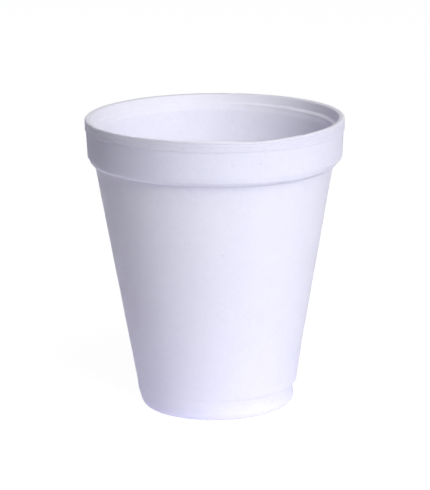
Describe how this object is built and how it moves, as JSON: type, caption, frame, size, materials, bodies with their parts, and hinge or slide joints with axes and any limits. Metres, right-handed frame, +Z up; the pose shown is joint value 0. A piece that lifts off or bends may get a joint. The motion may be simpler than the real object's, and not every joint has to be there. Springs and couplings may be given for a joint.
{
  "type": "foam cup",
  "caption": "White moulded bead-foam drinking cup: tapered body, stepped-in foot, plain band and lid bead at the lip, with a stacking ledge inside.",
  "frame": {"origin": "centre of the cup's foot, on the surface that it stands on", "axes": "+Z up along the cup's axis, from the foot to the mouth; the cup is round, so X and Y are free"},
  "size_m": [0.08, 0.08, 0.091],
  "materials": {
    "foam": "white bead foam, soft satin skin"
  },
  "bodies": {
    "root": {"foam_cup": "foam"}
  },
  "joints": []
}
